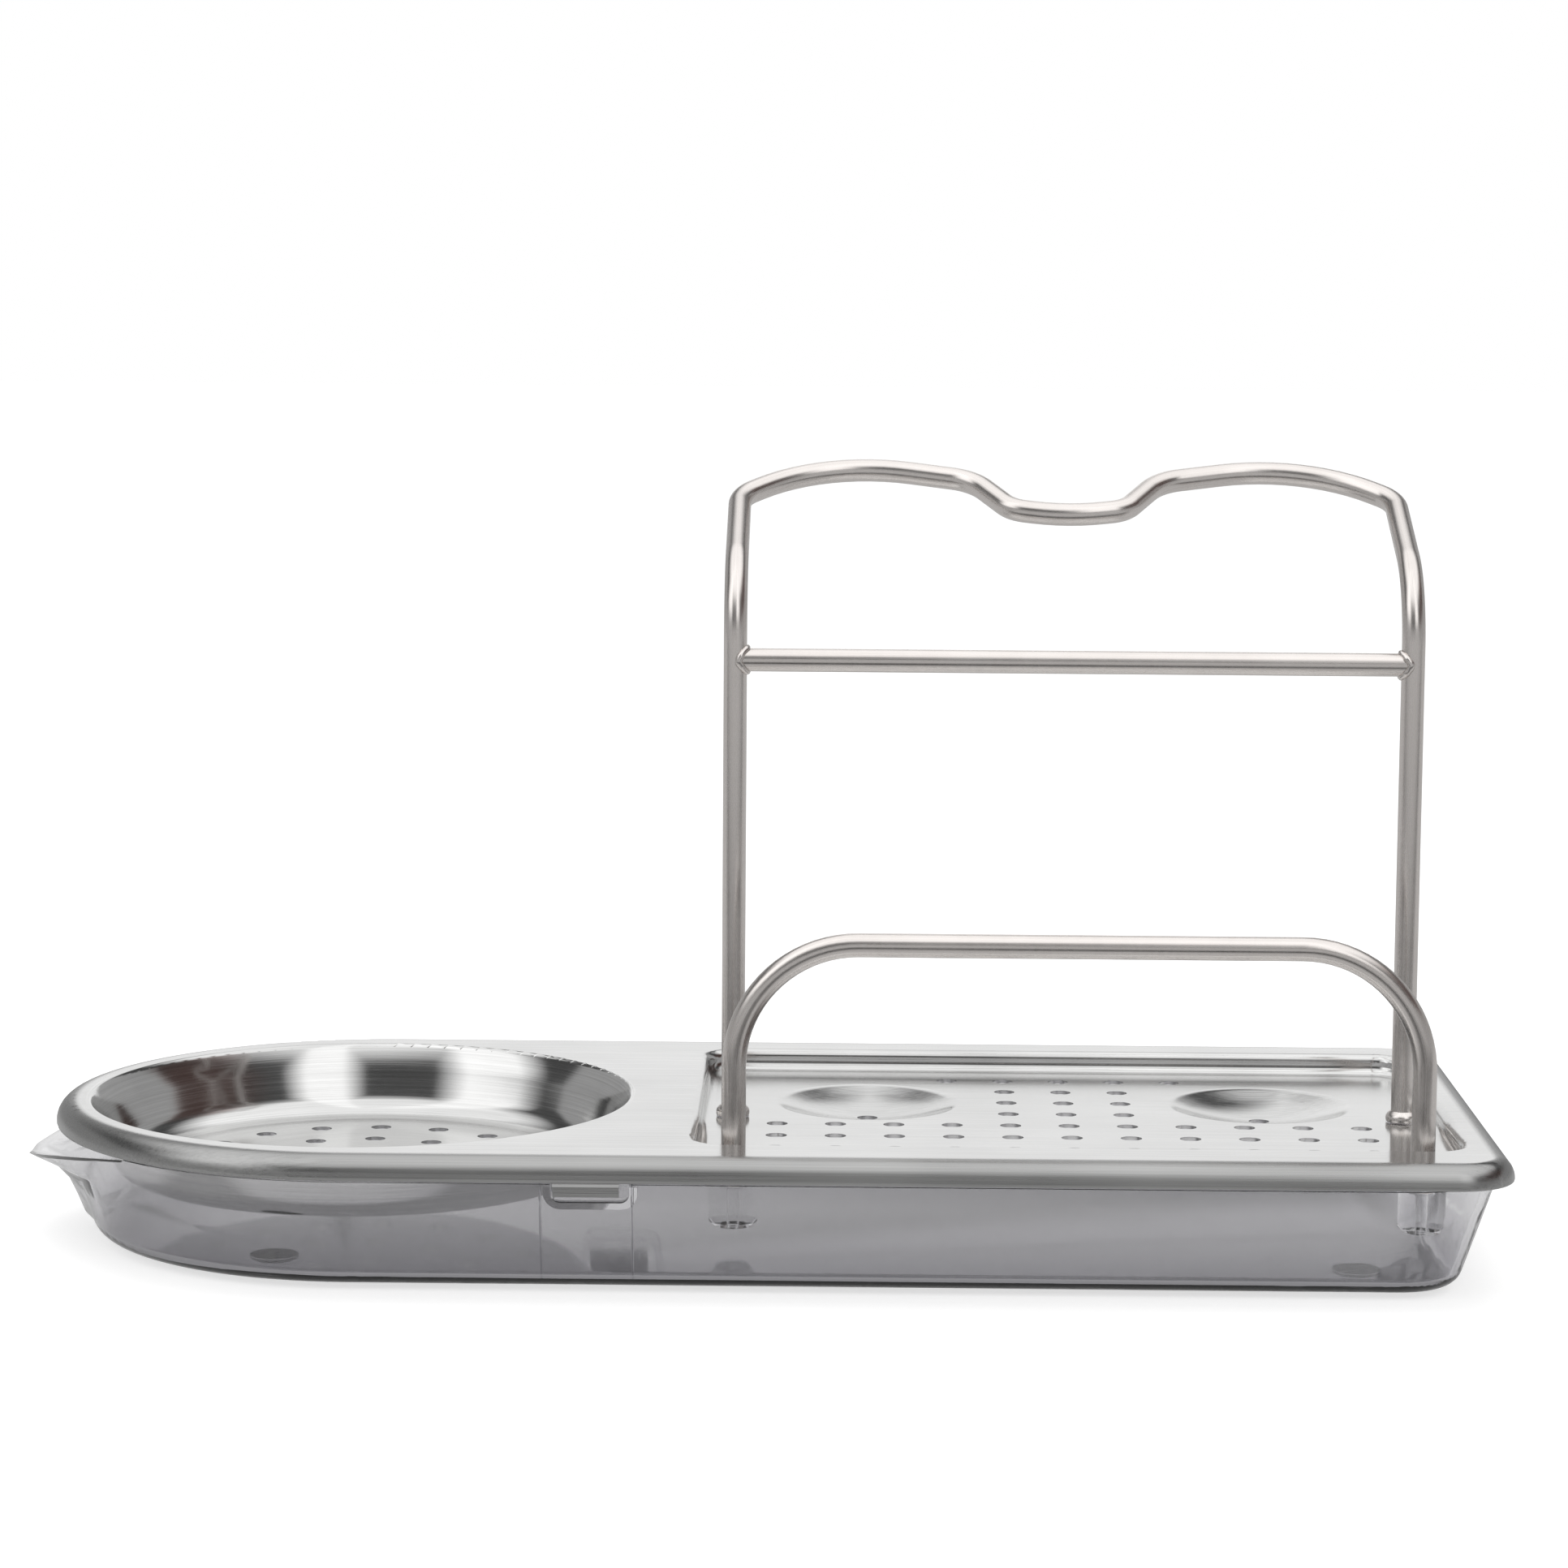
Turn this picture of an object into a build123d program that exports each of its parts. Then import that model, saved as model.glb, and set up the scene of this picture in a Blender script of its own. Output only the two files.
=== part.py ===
"""Sink caddy for sponges and brushes: clear drip dish, pressed steel tray, two rod racks.

The frame: +X runs from the round end with the spout to the square end, +Y is the back,
+Z is up. The origin is on the surface the caddy stands on, at the middle of its box.
All sizes are in millimetres.
"""
from build123d import *
import math
import os

# Plan of the steel tray
TRAY_LENGTH = 305.5
TRAY_DEPTH = 136.0
TRAY_CORNER = 13.0
SPOUT_REACH = 6.6

# Levels, counted from the underside of the dish
FOOT_STAND = 1.0
FLOOR_RISE = 24.0
RECESS_DEPTH = 4.4
BOWL_DEPTH = 15.5

# Pressed steel sheet
SHEET = 0.8
RIM_ROUND = 4.3
RIM_CURL = 0.6
LIP_HEIGHT = 5.1
RECESS_END_LAND = 9.2
RECESS_FRONT_LAND = 17.3
RECESS_BACK_LAND = 13.3
RECESS_CORNER = 7.0
PRESS_EDGE = 2.0
PRESS_FOOT = 2.5
BOWL_LAND = 10.0
BOWL_SHIFT = 2.8
BOWL_DRAFT = 5.9
BOWL_EDGE = 1.2
BOWL_FOOT = 7.0
BOWL_TO_RECESS = 15.6
DIMPLE_R = 20.6
DIMPLE_DEPTH = 3.6
DIMPLE_EDGE = 6.0
DIMPLE_FROM_SIDE = 35.75
DIMPLE_FROM_BACK = 37.9

# Drain holes
DRAIN_D = 4.5
DRAIN_PITCH = 12.5
DRAIN_FROM_BACK = 12.8
DRAIN_FROM_FRONT = 17.0
DRAIN_FROM_SIDE = 16.0
DRAIN_MIDDLE_ROWS = (5, 3, 3, 3)
BOWL_RING_PITCH = 12.8
BOWL_RING_FROM_EDGE = 11.0
BOWL_RING_STEP = 6

# Tabs of the tray and the notches of the dish that take them
TAB_FROM_ROUND = 49.4
TAB_WIDTH = 13.4
TAB_STEP_IN = 0.4
TAB_SET_IN = 1.6
TAB_DROP = 3.1
NOTCH_SIDE_CLEAR = 1.3
NOTCH_SHIFT = 0.8
NOTCH_UNDER = 4.4
NOTCH_CORNER = 2.0
NOTCH_DEPTH = 5.0
NOTCH_WALL = 1.5

# Drip dish
DISH_WALL = 2.0
DISH_FLOOR = 2.0
DISH_SET_IN = 1.0
DISH_END_IN = 1.6
DISH_DRAFT = 7.4
DISH_FOOT_ROUND = 4.5
DISH_FOOT_CORNER = 13.5
DISH_TOP_CORNER = 19.0
DISH_BAND_STEP = 0.8
DISH_BAND_RISE = 4.25
DISH_BAND_ROUND = 1.2
LIP_GAP = 0.4
NOSE_ROOT_IN = 21.1
NOSE_RISE = 14.85
NOSE_ROUND = 10.0
NOSE_LIP_ROUND = 22.0
NOSE_LIP_SLOPE = 10.0
NOSE_SINK = 0.5
NOSE_HEIGHT_SHARES = (0.02, 0.07, 0.15, 0.40, 0.65, 0.88, 1.0)
NOSE_REACH_SHARES = (-0.15, 0.07, 0.265, 0.304, 0.363, 0.588, 1.0)
NOSE_TOP_SHARE = 2.3

# Feet
FOOT_D = 10.0
FOOT_SEAT = 0.8
FOOT_EDGE = 0.4
FOOT_ROUND_END_X = 17.0
FOOT_ROUND_SIDE_IN = 30.0
FOOT_SQUARE_END_IN = 30.0
FOOT_SQUARE_SIDE_IN = 26.0

# Rods
ROD_D = 5.0
RACK_FROM_SIDE = 6.55
RACK_BEND_RISE = 102.2
RACK_BEND_R = 20.4
RACK_LEAN = 66.5
RACK_TOP_REACH = 44.4
RACK_TOP_WIDTH_SHARES = (1.0, 0.740, 0.285, 0.173, 0.0)
RACK_TOP_REACH_SHARES = (0.604, 1.0, 0.795, 0.484, 0.414)
RACK_TOP_RADIUS_SHARES = (0.20, 0.79, 0.27, 0.16, 0.72)
RACK_RUN_SHARE = 0.99
CROSSBAR_RISE = 98.9
WELD_SIZE = 1.0
DIVIDER_FROM_SIDE = 7.75
DIVIDER_FROM_FRONT = 7.9
DIVIDER_RISE = 44.3
DIVIDER_BEND = 25.5

# Leg sockets and collars
SOCKET_D = 10.0
SOCKET_DEPTH = 13.2
SOCKET_END = 8.0
SOCKET_EDGE = 1.0
SOCKET_DRAIN_D = 2.4
SPIGOT_D = 7.0
SPIGOT_CLEAR = 0.05
ROD_CLEAR = 0.05
ROD_END_CLEAR = 0.5
COLLAR_D = 7.2
COLLAR_TOP_D = 6.0
COLLAR_HEIGHT = 2.4
LOW_COLLAR_D = 6.2
LOW_COLLAR_TOP_D = 5.6
LOW_COLLAR_HEIGHT = 0.8
SEAT_GAP = 0.1

# Length by which a cutting tool runs past what it cuts
OVERRUN = 1.0

# Places worked out from the sizes above
DISH_BASE_Z = FOOT_STAND
FLOOR_Z = DISH_BASE_Z + FLOOR_RISE
RIM_Z = FLOOR_Z + RECESS_DEPTH
BOWL_FLOOR_Z = RIM_Z - BOWL_DEPTH
LIP_Z = RIM_Z - LIP_HEIGHT
SHOULDER_Z = LIP_Z - LIP_GAP
ROUND_R = TRAY_DEPTH / 2
RIGHT_X = (TRAY_LENGTH + SPOUT_REACH) / 2
ROUND_X = RIGHT_X - TRAY_LENGTH + ROUND_R
BOWL_X = ROUND_X - BOWL_SHIFT
BOWL_MOUTH_R = ROUND_R - BOWL_LAND
BOWL_FLOOR_R = BOWL_MOUTH_R - BOWL_DRAFT
RECESS_LENGTH = RIGHT_X - RECESS_END_LAND - BOWL_X - BOWL_MOUTH_R - BOWL_TO_RECESS
RECESS_WIDTH = TRAY_DEPTH - RECESS_FRONT_LAND - RECESS_BACK_LAND
RECESS_X = RIGHT_X - RECESS_END_LAND - RECESS_LENGTH / 2
RECESS_Y = (RECESS_FRONT_LAND - RECESS_BACK_LAND) / 2
RECESS_BACK_Y = RECESS_Y + RECESS_WIDTH / 2
RACK_SPAN = RECESS_LENGTH - RACK_FROM_SIDE * 2
DIVIDER_SPAN = RECESS_LENGTH - DIVIDER_FROM_SIDE * 2
DIVIDER_Y = RECESS_Y - RECESS_WIDTH / 2 + DIVIDER_FROM_FRONT
TAB_X = ROUND_X + TAB_FROM_ROUND
BAND_IN = DISH_SET_IN + DISH_BAND_STEP
BAND_TOP = SHOULDER_Z + DISH_BAND_RISE


def plan_face(set_in, z, corner=0, end_in=0):
    """The tray's plan drawn in by set_in: a round end and a square end with soft corners."""
    half = ROUND_R - set_in
    right = RIGHT_X - set_in - end_in
    corner = corner or TRAY_CORNER - set_in
    outline = [
        ThreePointArc((ROUND_X, half), (ROUND_X - half, 0), (ROUND_X, -half)),
        Line((ROUND_X, -half), (right - corner, -half)),
        RadiusArc((right - corner, -half), (right, corner - half), -corner),
        Line((right, corner - half), (right, half - corner)),
        RadiusArc((right, half - corner), (right - corner, half), -corner),
        Line((right - corner, half), (ROUND_X, half)),
    ]
    return Pos(0, 0, z) * make_face(outline)


def edges_at(part, z):
    """The edges of a part that lie flat at one level."""
    return part.edges().filter_by_position(Axis.Z, z, z)


def cap_solid(set_in, bottom, top, edge_round):
    """A plate of the tray's plan with a rounded upper edge."""
    plate = extrude(plan_face(set_in, bottom), top - bottom)
    return fillet(edges_at(plate, top), edge_round)


def recess_solid(grow, bottom, top, foot_round):
    """A block of the recess's plan with a rounded lower edge."""
    base = RectangleRounded(RECESS_LENGTH + grow * 2, RECESS_WIDTH + grow * 2, RECESS_CORNER + grow)
    block = extrude(Pos(RECESS_X, RECESS_Y, bottom) * base, top - bottom)
    return fillet(edges_at(block, bottom), foot_round)


def bowl_solid(drop, top):
    """The space of the round bowl, or with drop of the sheet its outer form."""
    lean = math.atan2(BOWL_MOUTH_R - BOWL_FLOOR_R, BOWL_DEPTH)
    grow = drop * math.tan((math.pi / 2 - lean) / 2)
    edge = BOWL_EDGE - drop
    mouth = BOWL_MOUTH_R + grow
    flat_end = mouth + edge * math.tan((math.pi / 2 - lean) / 2) + SHEET / 4
    line = FilletPolyline(
        (flat_end, 0, RIM_Z - drop),
        (mouth, 0, RIM_Z - drop),
        (BOWL_FLOOR_R + grow, 0, BOWL_FLOOR_Z - drop),
        (0, 0, BOWL_FLOOR_Z - drop),
        radius=[edge, BOWL_FOOT + drop],
    )
    close = Polyline((0, 0, BOWL_FLOOR_Z - drop), (0, 0, top), (flat_end, 0, top),
                     (flat_end, 0, RIM_Z - drop))
    return Pos(BOWL_X, 0, 0) * revolve(make_face([line, close]), Axis.Z)


def dimple_solid(drop, top):
    """A shallow round pressing in the recess floor, with a soft edge."""
    both = (DIMPLE_R ** 2 + DIMPLE_DEPTH ** 2) / (2 * DIMPLE_DEPTH)
    edge = DIMPLE_EDGE - drop
    ball = both - DIMPLE_EDGE + drop
    edge_centre = Vector(DIMPLE_R, 0, FLOOR_Z - DIMPLE_EDGE)
    ball_centre = Vector(0, 0, FLOOR_Z - DIMPLE_DEPTH + both - DIMPLE_EDGE)
    along = (ball_centre - edge_centre).normalized()
    meet = edge_centre + along * edge
    swing = math.atan2(-along.X, along.Z) / 2
    edge_mid = edge_centre + Vector(-math.sin(swing), 0, math.cos(swing)) * edge
    ball_mid = ball_centre + Vector(math.sin(swing), 0, -math.cos(swing)) * ball
    rim = Vector(DIMPLE_R, 0, FLOOR_Z - drop)
    deep = Vector(0, 0, FLOOR_Z - DIMPLE_DEPTH - drop)
    outline = [
        ThreePointArc(rim, edge_mid, meet),
        ThreePointArc(meet, ball_mid, deep),
        Polyline(deep, (0, 0, top), (DIMPLE_R, 0, top), rim),
    ]
    return revolve(make_face(outline), Axis.Z)


def dimple_places():
    """The middle of each dimple."""
    out = RECESS_LENGTH / 2 - DIMPLE_FROM_SIDE
    return [(RECESS_X + side * out, RECESS_BACK_Y - DIMPLE_FROM_BACK) for side in (-1, 1)]


def drain_rows():
    """How many holes each row has, from the back: short rows at the middle, then full ones."""
    full = int((RECESS_LENGTH - DRAIN_FROM_SIDE * 2) / DRAIN_PITCH) + 1
    rows = int((RECESS_WIDTH - DRAIN_FROM_BACK - DRAIN_FROM_FRONT) / DRAIN_PITCH) + 1
    return list(DRAIN_MIDDLE_ROWS) + [full] * max(rows - len(DRAIN_MIDDLE_ROWS), 0)


def drain_places():
    """Every drain hole of the recess: one in each dimple, then row after row from the back."""
    places = list(dimple_places())
    for row, count in enumerate(drain_rows()):
        for step in range(count):
            x = RECESS_X + (step - (count - 1) / 2) * DRAIN_PITCH
            places.append((x, RECESS_BACK_Y - DRAIN_FROM_BACK - row * DRAIN_PITCH))
    return places


def bowl_drain_places():
    """The middle hole and the rings of holes in the bowl's floor."""
    places = [(BOWL_X, 0)]
    for ring in range(1, int((BOWL_FLOOR_R - BOWL_RING_FROM_EDGE) / BOWL_RING_PITCH) + 1):
        count = ring * BOWL_RING_STEP
        for step in range(count):
            turn = math.pi / 2 + 2 * math.pi * step / count
            places.append((BOWL_X + ring * BOWL_RING_PITCH * math.cos(turn),
                           ring * BOWL_RING_PITCH * math.sin(turn)))
    return places


def pins(places, diameter, bottom, top):
    """Round cutters that stand at the given places."""
    return [Pos(x, y, bottom) * extrude(Circle(diameter / 2), top - bottom) for x, y in places]


def rack_leg_places():
    """Where the tall rack's legs pass the recess floor."""
    return [(RECESS_X - RACK_SPAN / 2, 0), (RECESS_X + RACK_SPAN / 2, 0)]


def divider_leg_places():
    """Where the low divider's legs pass the recess floor."""
    return [(RECESS_X - DIVIDER_SPAN / 2, DIVIDER_Y), (RECESS_X + DIVIDER_SPAN / 2, DIVIDER_Y)]


def tray_tab(side):
    """The stepped tab under the lip, at the front or the back."""
    out = ROUND_R
    section = Polyline(
        (out - TAB_STEP_IN, LIP_Z + SHEET / 2), (out - TAB_STEP_IN, LIP_Z - SHEET),
        (out - TAB_SET_IN, LIP_Z - SHEET), (out - TAB_SET_IN, LIP_Z - TAB_DROP),
        (out - TAB_SET_IN - SHEET, LIP_Z - TAB_DROP), (out - TAB_SET_IN - SHEET, LIP_Z + SHEET / 2),
        close=True,
    )
    tab = extrude(Plane.YZ * make_face(section), TAB_WIDTH / 2, both=True)
    return Pos(TAB_X, 0, 0) * (tab if side > 0 else mirror(tab, Plane.XZ))


def steel_tray():
    """One pressed sheet: rolled rim, round bowl, recess with dimples, drain holes, tabs."""
    under = RIM_Z - SHEET
    inside = under + SHEET / 2
    tray = cap_solid(0, LIP_Z, RIM_Z, RIM_ROUND)
    tray = fillet(edges_at(tray, LIP_Z), RIM_CURL)
    tray -= cap_solid(SHEET, LIP_Z - OVERRUN, under, RIM_ROUND - SHEET)
    tray += recess_solid(SHEET, FLOOR_Z - SHEET, inside, PRESS_FOOT + SHEET)
    tray = fillet(recess_joint_edges(tray, under, SHEET), PRESS_EDGE - SHEET)
    tray -= recess_solid(0, FLOOR_Z, RIM_Z + OVERRUN, PRESS_FOOT)
    tray = fillet(recess_joint_edges(tray, RIM_Z, 0), PRESS_EDGE)
    tray += bowl_solid(SHEET, inside)
    for x, y in dimple_places():
        tray += Pos(x, y, 0) * dimple_solid(SHEET, FLOOR_Z - SHEET / 2)
    tray -= bowl_solid(0, RIM_Z + OVERRUN)
    for x, y in dimple_places():
        tray -= Pos(x, y, 0) * dimple_solid(0, FLOOR_Z + OVERRUN)
    deep = FLOOR_Z - DIMPLE_DEPTH - SHEET - OVERRUN
    tray -= pins(drain_places(), DRAIN_D, deep, FLOOR_Z + OVERRUN)
    tray -= pins(rack_leg_places() + divider_leg_places(), SPIGOT_D, deep, FLOOR_Z + OVERRUN)
    tray -= pins(bowl_drain_places(), DRAIN_D, BOWL_FLOOR_Z - SHEET - OVERRUN, BOWL_FLOOR_Z + OVERRUN)
    for side in (-1, 1):
        tray += tray_tab(side)
    return tray


def recess_joint_edges(part, z, grow):
    """The edges at one level that follow the recess's plan."""
    half_x = RECESS_LENGTH / 2 + grow + SHEET / 2
    half_y = RECESS_WIDTH / 2 + grow + SHEET / 2
    flat = edges_at(part, z)
    flat = flat.filter_by_position(Axis.X, RECESS_X - half_x, RECESS_X + half_x)
    return flat.filter_by_position(Axis.Y, RECESS_Y - half_y, RECESS_Y + half_y)


def dish_set_in(z):
    """How far the drafted wall stands in from the tray's plan at one level."""
    return DISH_SET_IN + DISH_DRAFT * (SHOULDER_Z - z) / (SHOULDER_Z - DISH_BASE_Z)


def nose_face(radius, reach, z):
    """A round plan drawn out to a soft point towards -X, at one level."""
    centre = reach - NOSE_ROUND
    turn = math.acos((radius - NOSE_ROUND) / centre)
    side_x, side_y = -radius * math.cos(turn), radius * math.sin(turn)
    tip_x, tip_y = -centre - NOSE_ROUND * math.cos(turn), NOSE_ROUND * math.sin(turn)
    outline = [
        Line((side_x, side_y), (tip_x, tip_y)),
        ThreePointArc((tip_x, tip_y), (-reach, 0), (tip_x, -tip_y)),
        Line((tip_x, -tip_y), (side_x, -side_y)),
        ThreePointArc((side_x, -side_y), (radius, 0), (side_x, side_y)),
    ]
    return Pos(ROUND_X, 0, z) * make_face(outline)


def spout_nose(inward, bottom, foot_round):
    """The part of the dish that swells out of the round end into the spout."""
    lip_z = DISH_BASE_Z + NOSE_RISE
    reach = SPOUT_REACH + dish_set_in(lip_z)
    levels = [bottom + share * (lip_z - bottom) for share in NOSE_HEIGHT_SHARES] + [SHOULDER_Z]
    reaches = [reach * share for share in NOSE_REACH_SHARES + (NOSE_TOP_SHARE,)]
    faces = []
    for z, out in zip(levels, reaches):
        wall = ROUND_R - dish_set_in(z) - inward
        low = max(foot_round - (z - bottom), 0)
        rounding = foot_round - math.sqrt(foot_round ** 2 - low ** 2)
        faces.append(nose_face(wall - rounding - NOSE_SINK, wall + out, z))
    return loft(Sketch() + faces, ruled=True)


def dish_form(inward, bottom, foot_round):
    """The dish's drafted body with the spout's nose, drawn in by the wall for its inside."""
    low = plan_face(dish_set_in(bottom) + inward, bottom, DISH_FOOT_CORNER - inward, DISH_END_IN)
    high = plan_face(DISH_SET_IN + inward, SHOULDER_Z, DISH_TOP_CORNER - inward, DISH_END_IN)
    body = loft(Sketch() + [low, high], ruled=True)
    body = fillet(edges_at(body, bottom), foot_round)
    return body + spout_nose(inward, bottom, foot_round)


def band_solid(inward, bottom, top):
    """The plate of the rim band that stands inside the steel lip, or of the space inside it."""
    corner = DISH_TOP_CORNER - DISH_BAND_STEP - inward
    return extrude(plan_face(BAND_IN + inward, bottom, corner, DISH_END_IN), top - bottom)


def spout_cutter():
    """The space over the spout: a shallow valley along X that ends in a square step."""
    lean = math.radians(NOSE_LIP_SLOPE)
    slope = math.tan(lean)
    side = ROUND_R + SPOUT_REACH
    top = RIM_Z + OVERRUN
    rise = DISH_BASE_Z + NOSE_RISE - NOSE_LIP_ROUND * (1 / math.cos(lean) - 1)
    valley = FilletPolyline((-side, rise + side * slope), (0, rise), (side, rise + side * slope),
                            radius=NOSE_LIP_ROUND)
    rest = Polyline((side, rise + side * slope), (side, top), (-side, top), (-side, rise + side * slope))
    face = Plane.YZ * make_face([valley, rest])
    reach = ROUND_R + SPOUT_REACH * 4
    return Pos(ROUND_X - reach, 0, 0) * extrude(face, reach - ROUND_R + NOSE_ROOT_IN)


def notch_block(grow, out, top):
    """A block with round lower edges that fills a front notch, grown on its sides and inside."""
    width = TAB_WIDTH + (NOTCH_SIDE_CLEAR + grow) * 2
    bottom = LIP_Z - NOTCH_UNDER - grow
    inside = ROUND_R - NOTCH_DEPTH - grow
    plan = Rectangle(width, out - inside, align=(Align.CENTER, Align.MIN))
    block = extrude(Pos(TAB_X + NOTCH_SHIFT, -out, bottom) * plan, top - bottom)
    low = block.edges().filter_by(Axis.Y).filter_by_position(Axis.Z, bottom, bottom)
    return fillet(low, NOTCH_CORNER + grow)


def notch_pockets():
    """The walls behind the two notches, which keep the water in the dish."""
    low = LIP_Z - NOTCH_UNDER - NOTCH_WALL
    front = notch_block(NOTCH_WALL, ROUND_R - dish_set_in(low) - SHEET / 2, BAND_TOP)
    return [front, mirror(front, Plane.XZ)]


def notch_cutters():
    """The two notches, open upwards and outwards, that take the tray's tabs."""
    front = notch_block(0, ROUND_R + OVERRUN, RIM_Z + OVERRUN)
    return [front, mirror(front, Plane.XZ)]


def foot_places():
    """Two feet under the round end and two near the square end."""
    square_x = RIGHT_X - FOOT_SQUARE_END_IN
    return {
        "foot_round_front": (ROUND_X - FOOT_ROUND_END_X, FOOT_ROUND_SIDE_IN - ROUND_R),
        "foot_round_back": (ROUND_X - FOOT_ROUND_END_X, ROUND_R - FOOT_ROUND_SIDE_IN),
        "foot_square_front": (square_x, FOOT_SQUARE_SIDE_IN - ROUND_R),
        "foot_square_back": (square_x, ROUND_R - FOOT_SQUARE_SIDE_IN),
    }


def drip_dish():
    """The clear dish: drafted wall, rim band inside the steel lip, spout and notches."""
    inner_floor = DISH_BASE_Z + DISH_FLOOR
    band = band_solid(0, SHOULDER_Z - OVERRUN, BAND_TOP)
    dish = dish_form(0, DISH_BASE_Z, DISH_FOOT_ROUND)
    dish += fillet(edges_at(band, BAND_TOP), DISH_BAND_ROUND)
    dish -= dish_form(DISH_WALL, inner_floor, DISH_FOOT_ROUND - DISH_FLOOR)
    dish -= band_solid(DISH_WALL, SHOULDER_Z - OVERRUN, BAND_TOP + OVERRUN)
    dish -= spout_cutter()
    dish += notch_pockets()
    dish -= notch_cutters()
    dish -= pins(foot_places().values(), FOOT_D, DISH_BASE_Z - OVERRUN, DISH_BASE_Z + FOOT_SEAT)
    return dish


def foot(place):
    """A rubber disc let into the underside of the dish."""
    disc = extrude(Circle(FOOT_D / 2), FOOT_STAND + FOOT_SEAT)
    disc = chamfer(edges_at(disc, 0), FOOT_EDGE)
    return Pos(place[0], place[1], 0) * disc


def rod_along(path, start):
    """A round rod swept along its centre line, which rises from start."""
    return sweep(Plane(origin=start, z_dir=(0, 0, 1)) * Circle(ROD_D / 2), path=path)


def rod_foot_z():
    """The level of the lower ends of the rods, inside their sockets."""
    return FLOOR_Z - SHEET - SOCKET_DEPTH + SOCKET_END + ROD_END_CLEAR


def rack_top_plane():
    """The leaning plane of the tall rack's top: local x is +X, local y runs back and up."""
    lean = math.radians(RACK_LEAN)
    origin = (RECESS_X, RACK_BEND_R * (1 - math.cos(lean)),
              FLOOR_Z + RACK_BEND_RISE + RACK_BEND_R * math.sin(lean))
    return Plane(origin=origin, x_dir=(1, 0, 0), z_dir=(0, -math.cos(lean), math.sin(lean)))


def radii_in_runs(points, radii):
    """The bend radii as wished, or all smaller alike where a run is too short for its two bends."""
    runs = [Vector(*end) - Vector(*start) for start, end in zip(points, points[1:])]
    tangents = [radius * math.tan(math.radians(before.get_angle(after)) / 2)
                for radius, before, after in zip(radii, runs, runs[1:])]
    needed = [first + second for first, second in zip([0] + tangents, tangents + [0])]
    fit = min(RACK_RUN_SHARE * run.length / need for run, need in zip(runs, needed))
    return [min(fit, 1) * radius for radius in radii]


def rack_top_line():
    """Corner, hump, notch and back again, as one bent line in the leaning plane."""
    half = RACK_SPAN / 2
    right = [(width * half, reach * RACK_TOP_REACH)
             for width, reach in zip(RACK_TOP_WIDTH_SHARES, RACK_TOP_REACH_SHARES)]
    left = [(-x, y) for x, y in reversed(right[:-1])]
    radii = [share * RACK_TOP_REACH for share in RACK_TOP_RADIUS_SHARES]
    points = [(half, 0)] + right + left + [(-half, 0)]
    return FilletPolyline(*points, radius=radii_in_runs(points, radii + radii[-2::-1]))


def rack_leg_line(x, plane, end):
    """One leg: straight up, then the bend back to where the leaning top starts."""
    lean = math.radians(RACK_LEAN)
    bend = FLOOR_Z + RACK_BEND_RISE
    half = lean / 2
    middle = (x, RACK_BEND_R * (1 - math.cos(half)), bend + RACK_BEND_R * math.sin(half))
    over = plane.from_local_coords(Vector(end, 0, 0))
    return [Line((x, 0, rod_foot_z()), (x, 0, bend)), ThreePointArc((x, 0, bend), middle, over)]


def rack_loop():
    """The tall rack's single rod: two legs bent back into a top with two humps and a notch."""
    half = RACK_SPAN / 2
    plane = rack_top_plane()
    top = plane * rack_top_line()
    right = rack_leg_line(RECESS_X + half, plane, half)
    left = rack_leg_line(RECESS_X - half, plane, -half)
    path = Wire(right + list(top.edges()) + left)
    return rod_along(path, (RECESS_X + half, 0, rod_foot_z()))


def rack_crossbar(loop):
    """The straight bar between the legs, coped to them, with a small weld at each end."""
    half = RACK_SPAN / 2
    turn = Plane(origin=(RECESS_X, 0, FLOOR_Z + CROSSBAR_RISE), x_dir=(0, 1, 0), z_dir=(1, 0, 0))
    bar = extrude(turn * Circle(ROD_D / 2), half, both=True)
    for side in (-1, 1):
        face_x = side * (half - ROD_D / 2)
        seat = turn.offset(face_x)
        weld = Cone(ROD_D / 2 + WELD_SIZE / 2, ROD_D / 2, WELD_SIZE * 2, align=(Align.CENTER,) * 2 + (Align.MIN,))
        bar += seat * (weld if side < 0 else Rot(180, 0, 0) * weld)
    return bar - loop


def divider_loop():
    """The low front rod: two legs and a bar with wide bends."""
    half = DIVIDER_SPAN / 2
    foot_z = rod_foot_z()
    top = FLOOR_Z + DIVIDER_RISE
    corners = [(half, foot_z), (half, top), (-half, top), (-half, foot_z)]
    points = [(RECESS_X + x, DIVIDER_Y, z) for x, z in corners]
    path = FilletPolyline(*points, radius=DIVIDER_BEND)
    return rod_along(path, points[0])


def leg_socket(place):
    """A moulded cup under the recess floor whose spigot fills the leg hole."""
    under = FLOOR_Z - SHEET
    low = under - SOCKET_DEPTH
    cup = extrude(Circle(SOCKET_D / 2), SOCKET_DEPTH)
    cup = Pos(0, 0, low) * chamfer(edges_at(cup, 0), SOCKET_EDGE)
    cup += Pos(0, 0, under) * extrude(Circle(SPIGOT_D / 2 - SPIGOT_CLEAR), SHEET)
    cup -= Pos(0, 0, low + SOCKET_END) * extrude(Circle(ROD_D / 2 + ROD_CLEAR), SOCKET_DEPTH + OVERRUN)
    cup -= Pos(0, 0, low - OVERRUN) * extrude(Circle(SOCKET_DRAIN_D / 2), SOCKET_DEPTH)
    return Pos(place[0], place[1], 0) * cup


def leg_collar(place, low_d, top_d, height):
    """The ring on a leg that stops it at the recess floor."""
    ring = Cone(low_d / 2, top_d / 2, height, align=(Align.CENTER,) * 2 + (Align.MIN,))
    ring -= extrude(Circle(ROD_D / 2), height * 2, both=True)
    return Pos(place[0], place[1], FLOOR_Z + SEAT_GAP) * ring


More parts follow.
